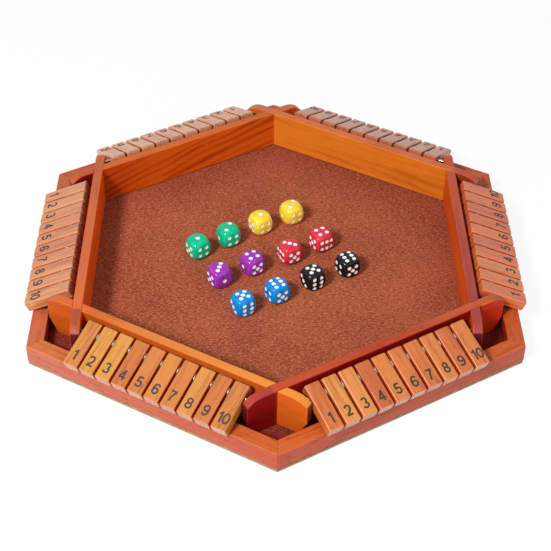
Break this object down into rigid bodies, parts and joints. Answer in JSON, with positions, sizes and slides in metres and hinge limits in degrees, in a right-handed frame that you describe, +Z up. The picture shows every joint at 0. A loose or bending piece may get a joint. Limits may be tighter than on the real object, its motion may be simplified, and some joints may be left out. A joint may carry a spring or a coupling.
{
  "type": "shut the box game",
  "caption": "Hexagonal shut the box game board for six players, with a row of numbered flip tiles on a steel rod along each side, a felt-lined dice tray and coloured dice.",
  "frame": {"origin": "centre of the base board's underside, on the table", "axes": "+Z up; -Y towards the corner that points at the camera; +X to the right-hand side, square to its row of tiles"},
  "size_m": [0.363, 0.407, 0.0378],
  "materials": {
    "base_wood": "unfinished board edge",
    "felt": "flocked felt",
    "rim_wood": "satin varnish",
    "wall_wood": "satin varnish",
    "tile_wood": "satin varnish",
    "steel": "drawn rod",
    "green_die": "gloss",
    "yellow_die": "gloss",
    "purple_die": "gloss",
    "red_die": "gloss",
    "blue_die": "gloss",
    "black_die": "gloss",
    "number_ink": "printed",
    "pip_paint": "painted"
  },
  "bodies": {
    "board": {"base_board": "base_wood", "felt_lining": "felt", "rim_frame": "rim_wood", "wall_board_right": "wall_wood", "wall_board_far_right": "wall_wood", "wall_board_far_left": "wall_wood", "wall_board_left": "wall_wood", "wall_board_near_left": "wall_wood", "wall_board_near_right": "wall_wood", "tile_rod_near_left": "steel", "tile_rod_near_right": "steel", "tile_rod_right": "steel"},
    "tile_right_01": {"tile_right_01": "tile_wood"},
    "tile_right_02": {"tile_right_02": "tile_wood"},
    "tile_right_03": {"tile_right_03": "tile_wood"},
    "tile_right_04": {"tile_right_04": "tile_wood"},
    "tile_right_05": {"tile_right_05": "tile_wood"},
    "tile_right_06": {"tile_right_06": "tile_wood"},
    "tile_right_07": {"tile_right_07": "tile_wood"},
    "tile_right_08": {"tile_right_08": "tile_wood"},
    "tile_right_09": {"tile_right_09": "tile_wood"},
    "tile_right_10": {"tile_right_10": "tile_wood"},
    "tile_row_far_right": {"tile_row_far_right": "tile_wood"},
    "tile_row_far_left": {"tile_row_far_left": "tile_wood"},
    "tile_row_left": {"tile_row_left": "tile_wood"},
    "tile_near_left_01": {"tile_near_left_01": "tile_wood"},
    "tile_near_left_02": {"tile_near_left_02": "tile_wood"},
    "tile_near_left_03": {"tile_near_left_03": "tile_wood"},
    "tile_near_left_04": {"tile_near_left_04": "tile_wood"},
    "tile_near_left_05": {"tile_near_left_05": "tile_wood"},
    "tile_near_left_06": {"tile_near_left_06": "tile_wood"},
    "tile_near_left_07": {"tile_near_left_07": "tile_wood"},
    "tile_near_left_08": {"tile_near_left_08": "tile_wood"},
    "tile_near_left_09": {"tile_near_left_09": "tile_wood"},
    "tile_near_left_10": {"tile_near_left_10": "tile_wood"},
    "tile_near_right_01": {"tile_near_right_01": "tile_wood"},
    "tile_near_right_02": {"tile_near_right_02": "tile_wood"},
    "tile_near_right_03": {"tile_near_right_03": "tile_wood"},
    "tile_near_right_04": {"tile_near_right_04": "tile_wood"},
    "tile_near_right_05": {"tile_near_right_05": "tile_wood"},
    "tile_near_right_06": {"tile_near_right_06": "tile_wood"},
    "tile_near_right_07": {"tile_near_right_07": "tile_wood"},
    "tile_near_right_08": {"tile_near_right_08": "tile_wood"},
    "tile_near_right_09": {"tile_near_right_09": "tile_wood"},
    "tile_near_right_10": {"tile_near_right_10": "tile_wood"},
    "die_green_1": {"die_green_1": "green_die"},
    "die_green_2": {"die_green_2": "green_die"},
    "die_yellow_1": {"die_yellow_1": "yellow_die"},
    "die_yellow_2": {"die_yellow_2": "yellow_die"},
    "die_purple_1": {"die_purple_1": "purple_die"},
    "die_purple_2": {"die_purple_2": "purple_die"},
    "die_red_1": {"die_red_1": "red_die"},
    "die_red_2": {"die_red_2": "red_die"},
    "die_blue_1": {"die_blue_1": "blue_die"},
    "die_blue_2": {"die_blue_2": "blue_die"},
    "die_black_1": {"die_black_1": "black_die"},
    "die_black_2": {"die_black_2": "black_die"}
  },
  "joints": [
    {"name": "tile_right_01_hinge", "type": "hinge", "parent": "board", "child": "tile_right_01", "pos_m": [0.15464, -0.05943, 0.0308], "axis": [0, -1, 0], "range_deg": [0, 149]},
    {"name": "tile_right_02_hinge", "type": "hinge", "parent": "board", "child": "tile_right_02", "pos_m": [0.15464, -0.04623, 0.0308], "axis": [0, -1, 0], "range_deg": [0, 149]},
    {"name": "tile_right_03_hinge", "type": "hinge", "parent": "board", "child": "tile_right_03", "pos_m": [0.15464, -0.03302, 0.0308], "axis": [0, -1, 0], "range_deg": [0, 149]},
    {"name": "tile_right_04_hinge", "type": "hinge", "parent": "board", "child": "tile_right_04", "pos_m": [0.15464, -0.01981, 0.0308], "axis": [0, -1, 0], "range_deg": [0, 149]},
    {"name": "tile_right_05_hinge", "type": "hinge", "parent": "board", "child": "tile_right_05", "pos_m": [0.15464, -0.0066, 0.0308], "axis": [0, -1, 0], "range_deg": [0, 149]},
    {"name": "tile_right_06_hinge", "type": "hinge", "parent": "board", "child": "tile_right_06", "pos_m": [0.15464, 0.0066, 0.0308], "axis": [0, -1, 0], "range_deg": [0, 149]},
    {"name": "tile_right_07_hinge", "type": "hinge", "parent": "board", "child": "tile_right_07", "pos_m": [0.15464, 0.01981, 0.0308], "axis": [0, -1, 0], "range_deg": [0, 149]},
    {"name": "tile_right_08_hinge", "type": "hinge", "parent": "board", "child": "tile_right_08", "pos_m": [0.15464, 0.03302, 0.0308], "axis": [0, -1, 0], "range_deg": [0, 149]},
    {"name": "tile_right_09_hinge", "type": "hinge", "parent": "board", "child": "tile_right_09", "pos_m": [0.15464, 0.04623, 0.0308], "axis": [0, -1, 0], "range_deg": [0, 149]},
    {"name": "tile_right_10_hinge", "type": "hinge", "parent": "board", "child": "tile_right_10", "pos_m": [0.15464, 0.05943, 0.0308], "axis": [0, -1, 0], "range_deg": [0, 149]},
    {"name": "tile_row_far_right_hinge", "type": "hinge", "parent": "board", "child": "tile_row_far_right", "pos_m": [0.07732, 0.13392, 0.0308], "axis": [0.866, -0.5, 0], "range_deg": [0, 149]},
    {"name": "tile_row_far_left_hinge", "type": "hinge", "parent": "board", "child": "tile_row_far_left", "pos_m": [-0.07732, 0.13392, 0.0308], "axis": [0.866, 0.5, 0], "range_deg": [0, 149]},
    {"name": "tile_row_left_hinge", "type": "hinge", "parent": "board", "child": "tile_row_left", "pos_m": [-0.15464, 0, 0.0308], "axis": [0, 1, 0], "range_deg": [0, 149]},
    {"name": "tile_near_left_01_hinge", "type": "hinge", "parent": "board", "child": "tile_near_left_01", "pos_m": [-0.12879, -0.1042, 0.0308], "axis": [-0.866, 0.5, 0], "range_deg": [0, 149]},
    {"name": "tile_near_left_02_hinge", "type": "hinge", "parent": "board", "child": "tile_near_left_02", "pos_m": [-0.11735, -0.11081, 0.0308], "axis": [-0.866, 0.5, 0], "range_deg": [0, 149]},
    {"name": "tile_near_left_03_hinge", "type": "hinge", "parent": "board", "child": "tile_near_left_03", "pos_m": [-0.10591, -0.11741, 0.0308], "axis": [-0.866, 0.5, 0], "range_deg": [0, 149]},
    {"name": "tile_near_left_04_hinge", "type": "hinge", "parent": "board", "child": "tile_near_left_04", "pos_m": [-0.09448, -0.12401, 0.0308], "axis": [-0.866, 0.5, 0], "range_deg": [0, 149]},
    {"name": "tile_near_left_05_hinge", "type": "hinge", "parent": "board", "child": "tile_near_left_05", "pos_m": [-0.08304, -0.13062, 0.0308], "axis": [-0.866, 0.5, 0], "range_deg": [0, 149]},
    {"name": "tile_near_left_06_hinge", "type": "hinge", "parent": "board", "child": "tile_near_left_06", "pos_m": [-0.0716, -0.13722, 0.0308], "axis": [-0.866, 0.5, 0], "range_deg": [0, 149]},
    {"name": "tile_near_left_07_hinge", "type": "hinge", "parent": "board", "child": "tile_near_left_07", "pos_m": [-0.06016, -0.14382, 0.0308], "axis": [-0.866, 0.5, 0], "range_deg": [0, 149]},
    {"name": "tile_near_left_08_hinge", "type": "hinge", "parent": "board", "child": "tile_near_left_08", "pos_m": [-0.04872, -0.15043, 0.0308], "axis": [-0.866, 0.5, 0], "range_deg": [0, 149]},
    {"name": "tile_near_left_09_hinge", "type": "hinge", "parent": "board", "child": "tile_near_left_09", "pos_m": [-0.03728, -0.15703, 0.0308], "axis": [-0.866, 0.5, 0], "range_deg": [0, 149]},
    {"name": "tile_near_left_10_hinge", "type": "hinge", "parent": "board", "child": "tile_near_left_10", "pos_m": [-0.02585, -0.16364, 0.0308], "axis": [-0.866, 0.5, 0], "range_deg": [0, 149]},
    {"name": "tile_near_right_01_hinge", "type": "hinge", "parent": "board", "child": "tile_near_right_01", "pos_m": [0.02585, -0.16364, 0.0308], "axis": [-0.866, -0.5, 0], "range_deg": [0, 149]},
    {"name": "tile_near_right_02_hinge", "type": "hinge", "parent": "board", "child": "tile_near_right_02", "pos_m": [0.03728, -0.15703, 0.0308], "axis": [-0.866, -0.5, 0], "range_deg": [0, 149]},
    {"name": "tile_near_right_03_hinge", "type": "hinge", "parent": "board", "child": "tile_near_right_03", "pos_m": [0.04872, -0.15043, 0.0308], "axis": [-0.866, -0.5, 0], "range_deg": [0, 149]},
    {"name": "tile_near_right_04_hinge", "type": "hinge", "parent": "board", "child": "tile_near_right_04", "pos_m": [0.06016, -0.14382, 0.0308], "axis": [-0.866, -0.5, 0], "range_deg": [0, 149]},
    {"name": "tile_near_right_05_hinge", "type": "hinge", "parent": "board", "child": "tile_near_right_05", "pos_m": [0.0716, -0.13722, 0.0308], "axis": [-0.866, -0.5, 0], "range_deg": [0, 149]},
    {"name": "tile_near_right_06_hinge", "type": "hinge", "parent": "board", "child": "tile_near_right_06", "pos_m": [0.08304, -0.13062, 0.0308], "axis": [-0.866, -0.5, 0], "range_deg": [0, 149]},
    {"name": "tile_near_right_07_hinge", "type": "hinge", "parent": "board", "child": "tile_near_right_07", "pos_m": [0.09448, -0.12401, 0.0308], "axis": [-0.866, -0.5, 0], "range_deg": [0, 149]},
    {"name": "tile_near_right_08_hinge", "type": "hinge", "parent": "board", "child": "tile_near_right_08", "pos_m": [0.10591, -0.11741, 0.0308], "axis": [-0.866, -0.5, 0], "range_deg": [0, 149]},
    {"name": "tile_near_right_09_hinge", "type": "hinge", "parent": "board", "child": "tile_near_right_09", "pos_m": [0.11735, -0.11081, 0.0308], "axis": [-0.866, -0.5, 0], "range_deg": [0, 149]},
    {"name": "tile_near_right_10_hinge", "type": "hinge", "parent": "board", "child": "tile_near_right_10", "pos_m": [0.12879, -0.1042, 0.0308], "axis": [-0.866, -0.5, 0], "range_deg": [0, 149]},
    {"name": "die_green_1_lift", "type": "slide", "parent": "board", "child": "die_green_1", "axis": [0, 0, 1], "range_m": [0, 0.06]},
    {"name": "die_green_2_lift", "type": "slide", "parent": "board", "child": "die_green_2", "axis": [0, 0, 1], "range_m": [0, 0.06]},
    {"name": "die_yellow_1_lift", "type": "slide", "parent": "board", "child": "die_yellow_1", "axis": [0, 0, 1], "range_m": [0, 0.06]},
    {"name": "die_yellow_2_lift", "type": "slide", "parent": "board", "child": "die_yellow_2", "axis": [0, 0, 1], "range_m": [0, 0.06]},
    {"name": "die_purple_1_lift", "type": "slide", "parent": "board", "child": "die_purple_1", "axis": [0, 0, 1], "range_m": [0, 0.06]},
    {"name": "die_purple_2_lift", "type": "slide", "parent": "board", "child": "die_purple_2", "axis": [0, 0, 1], "range_m": [0, 0.06]},
    {"name": "die_red_1_lift", "type": "slide", "parent": "board", "child": "die_red_1", "axis": [0, 0, 1], "range_m": [0, 0.06]},
    {"name": "die_red_2_lift", "type": "slide", "parent": "board", "child": "die_red_2", "axis": [0, 0, 1], "range_m": [0, 0.06]},
    {"name": "die_blue_1_lift", "type": "slide", "parent": "board", "child": "die_blue_1", "axis": [0, 0, 1], "range_m": [0, 0.06]},
    {"name": "die_blue_2_lift", "type": "slide", "parent": "board", "child": "die_blue_2", "axis": [0, 0, 1], "range_m": [0, 0.06]},
    {"name": "die_black_1_lift", "type": "slide", "parent": "board", "child": "die_black_1", "axis": [0, 0, 1], "range_m": [0, 0.06]},
    {"name": "die_black_2_lift", "type": "slide", "parent": "board", "child": "die_black_2", "axis": [0, 0, 1], "range_m": [0, 0.06]}
  ]
}
